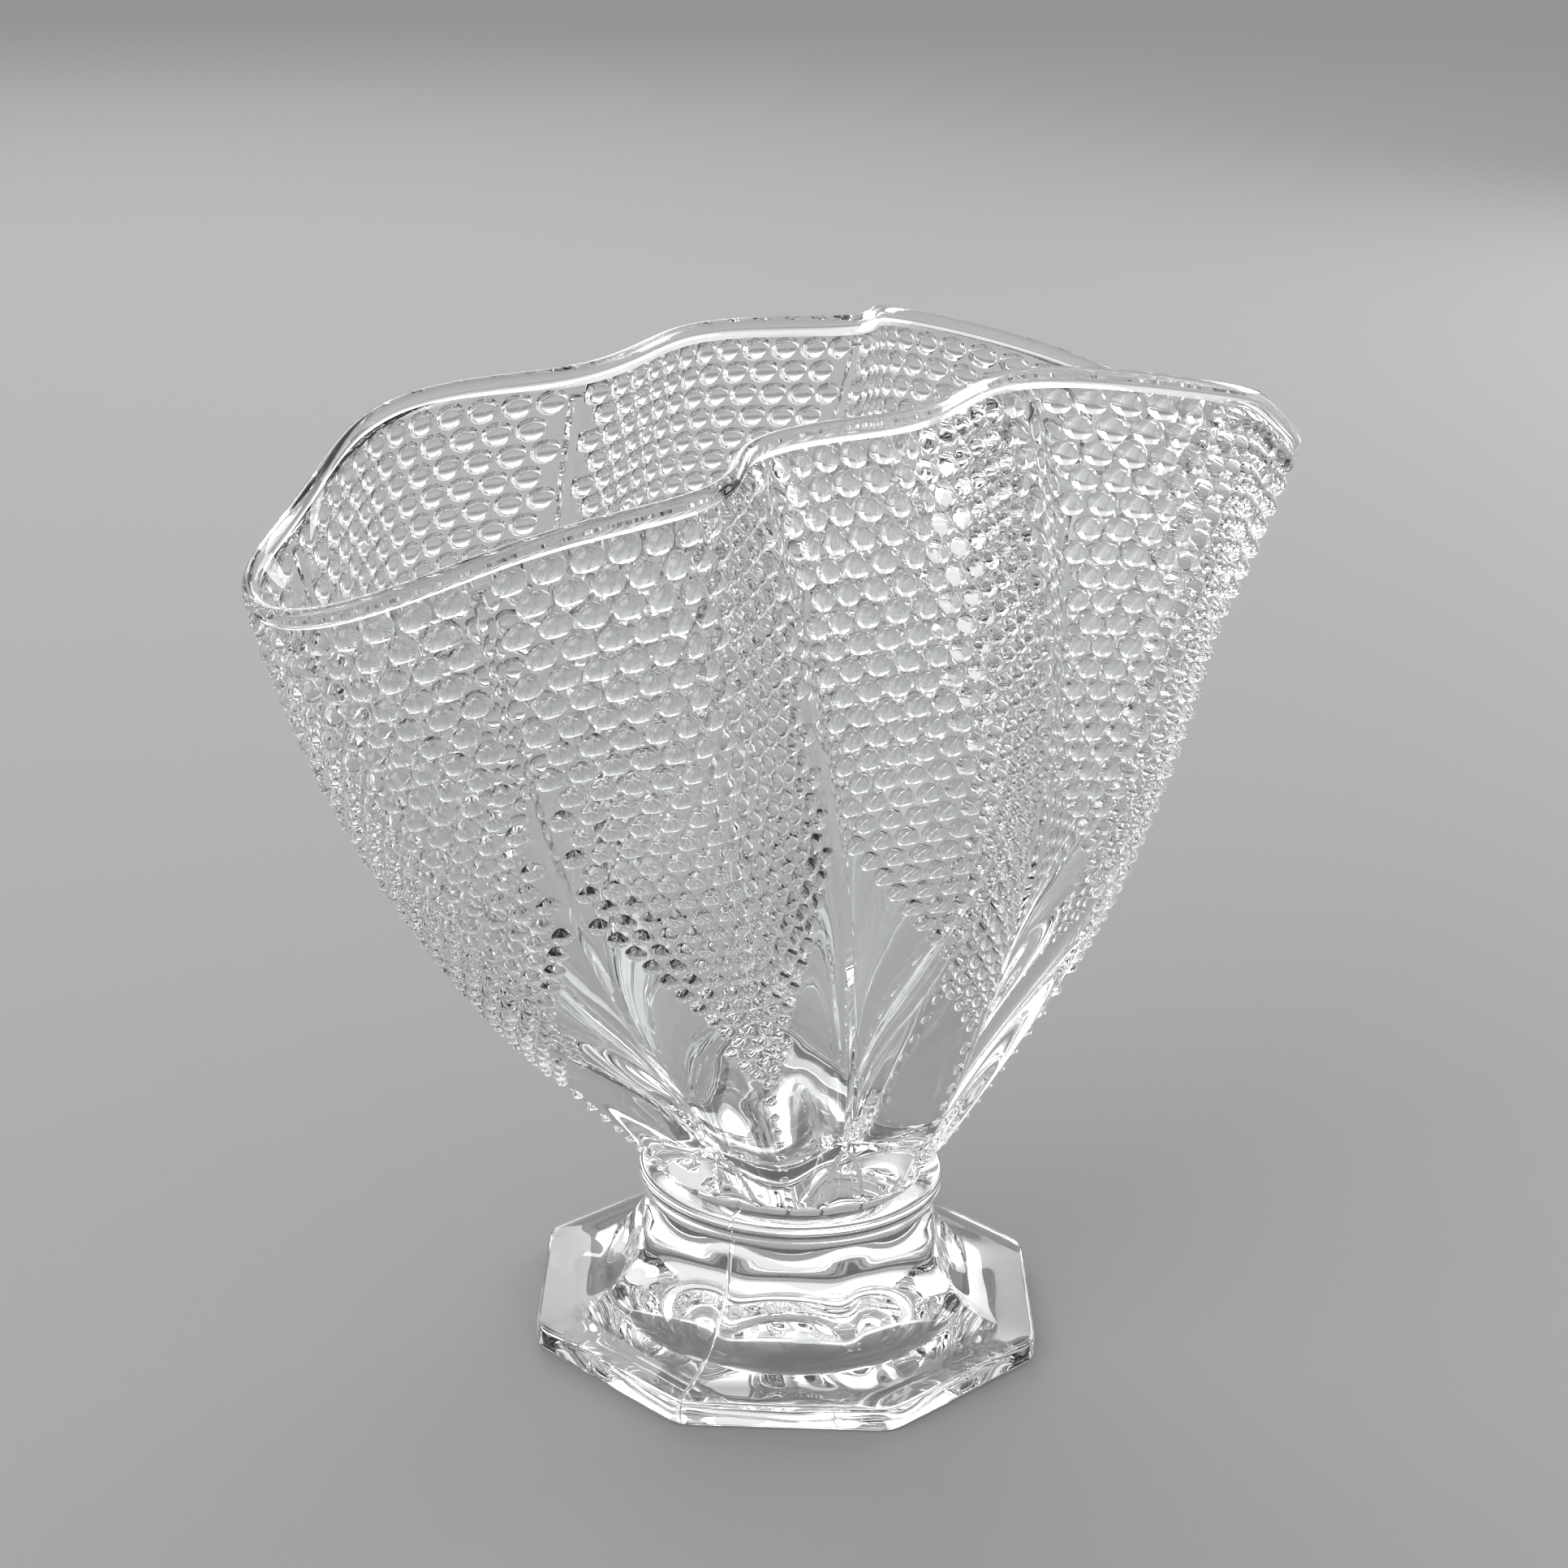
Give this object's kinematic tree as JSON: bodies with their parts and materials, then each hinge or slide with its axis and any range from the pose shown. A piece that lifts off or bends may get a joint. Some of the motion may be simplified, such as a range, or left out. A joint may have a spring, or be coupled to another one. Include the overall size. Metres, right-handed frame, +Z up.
{
  "type": "fan vase",
  "caption": "Pressed glass vase with a flared octagonal foot, a round collar and a beaded, lobed bowl squeezed flat into a wide fan with a wavy rim.",
  "frame": {"origin": "on the ground, under the middle of the vase's outline seen from above", "axes": "+Z up through the mouth, +X along the wide side of the mouth, +Y across the narrow side"},
  "size_m": [0.2342, 0.0964, 0.1783],
  "materials": {
    "glass": "fire-polished"
  },
  "bodies": {
    "root": {"fan_vase": "glass"}
  },
  "joints": []
}
